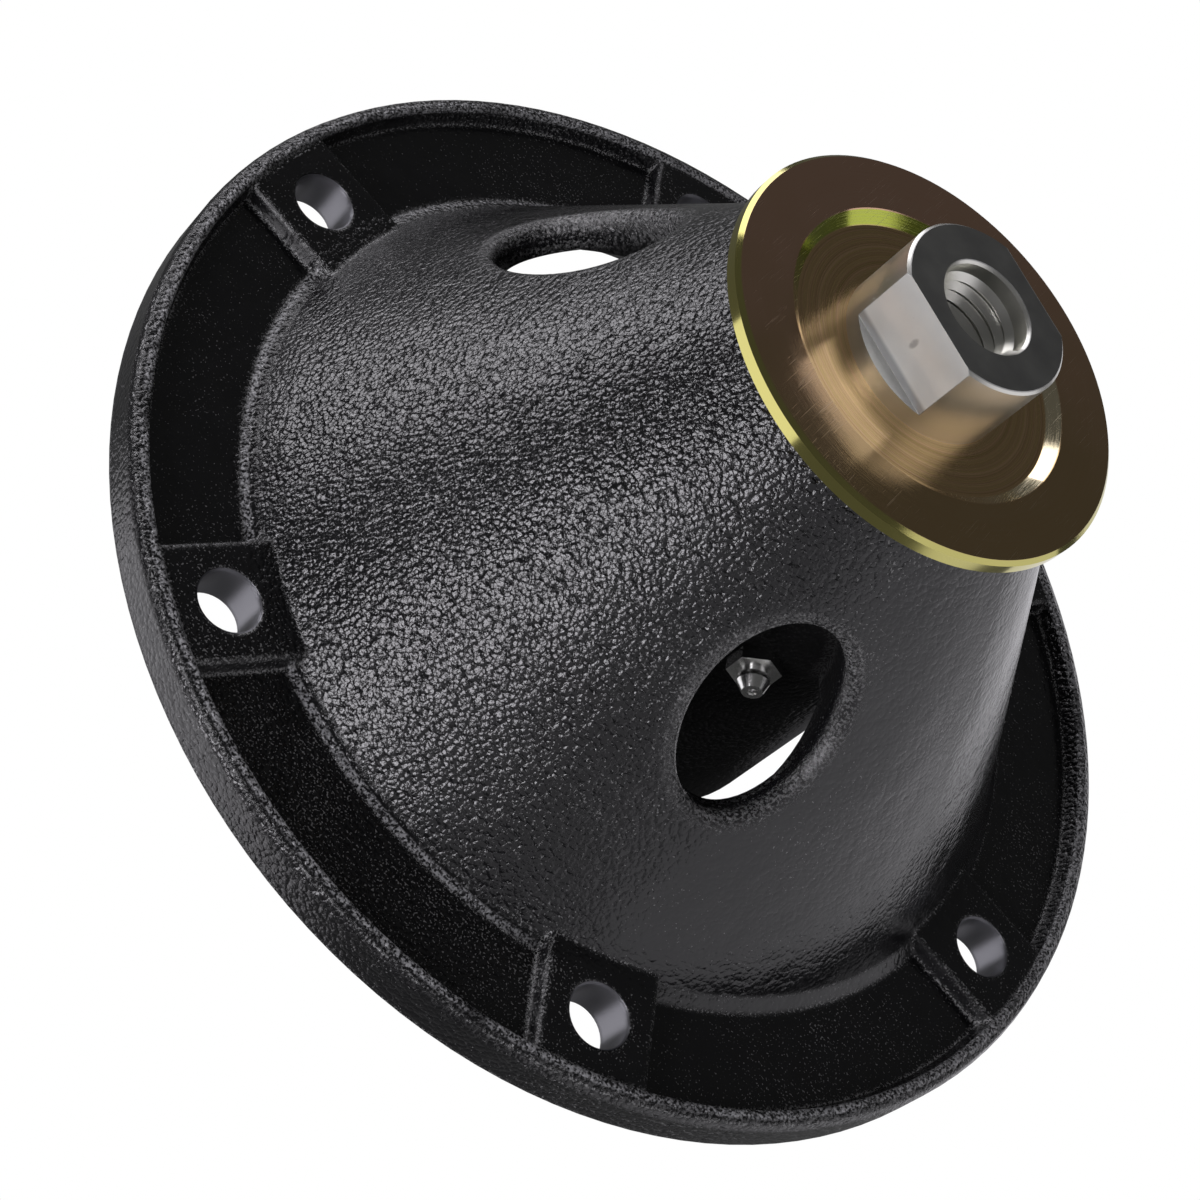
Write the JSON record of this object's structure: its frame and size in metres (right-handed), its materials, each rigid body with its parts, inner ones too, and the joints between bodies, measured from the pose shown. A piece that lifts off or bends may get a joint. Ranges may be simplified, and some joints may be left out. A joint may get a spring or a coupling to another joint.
{
  "type": "mower deck spindle",
  "caption": "Cast bell housing with a bolted flange and oval windows, carrying a shaft on ball bearings with a dished blade seat.",
  "frame": {"origin": "centre of the flange's mounting face, on the spindle axis", "axes": "+Z along the spindle axis towards the blade end, so +Z points down once it is bolted under a deck; +X through one bolt hole"},
  "size_m": [0.196, 0.196, 0.1505],
  "materials": {
    "housing_paint": "black paint over a sand-cast skin",
    "seat_zinc": "turned, zinc plated with yellow passivate",
    "shaft_steel": "turned and milled",
    "bearing_steel": "ground",
    "cage_steel": "pressed",
    "seal_rubber": "moulded",
    "spring_steel": "phosphated",
    "cap_zinc": "zinc plated with yellow passivate",
    "fitting_zinc": "zinc plated"
  },
  "bodies": {
    "housing": {"spindle_housing": "housing_paint", "lower_bearing_outer_ring": "bearing_steel", "upper_bearing_outer_ring": "bearing_steel", "lower_bearing_seal": "seal_rubber", "upper_bearing_seal": "seal_rubber", "lower_snap_ring": "spring_steel", "upper_snap_ring": "spring_steel", "grease_fitting_body": "fitting_zinc", "grease_fitting_spring": "spring_steel"},
    "spindle": {"spindle_shaft": "shaft_steel", "blade_seat": "seat_zinc", "lower_bearing_inner_ring": "bearing_steel", "upper_bearing_inner_ring": "bearing_steel", "bearing_spacer": "shaft_steel", "upper_dust_cap": "cap_zinc", "shaft_circlip": "spring_steel"},
    "lower_ball_set": {"lower_bearing_cage": "cage_steel", "lower_bearing_balls": "bearing_steel"},
    "upper_ball_set": {"upper_bearing_cage": "cage_steel", "upper_bearing_balls": "bearing_steel"},
    "check_ball": {"grease_fitting_ball": "bearing_steel"}
  },
  "joints": [
    {"name": "spindle_spin", "type": "hinge", "parent": "housing", "child": "spindle", "pos_m": [0, 0, 0], "axis": [0, 0, 1], "continuous": true},
    {"name": "lower_ball_orbit", "type": "hinge", "parent": "housing", "child": "lower_ball_set", "pos_m": [0, 0, 0], "axis": [0, 0, 1], "continuous": true},
    {"name": "upper_ball_orbit", "type": "hinge", "parent": "housing", "child": "upper_ball_set", "pos_m": [0, 0, 0], "axis": [0, 0, 1], "continuous": true},
    {"name": "check_ball_push", "type": "slide", "parent": "housing", "child": "check_ball", "axis": [-0.5, 0.866, 0], "range_m": [0, 0.0008], "stiffness_N_per_m": 300, "springref_m": -0.001, "deforming": ["grease_fitting_spring"]}
  ],
  "couplings": [
    {"joint": "lower_ball_orbit", "follows": "spindle_spin", "ratio": 0.39691},
    {"joint": "upper_ball_orbit", "follows": "spindle_spin", "ratio": 0.39691}
  ]
}
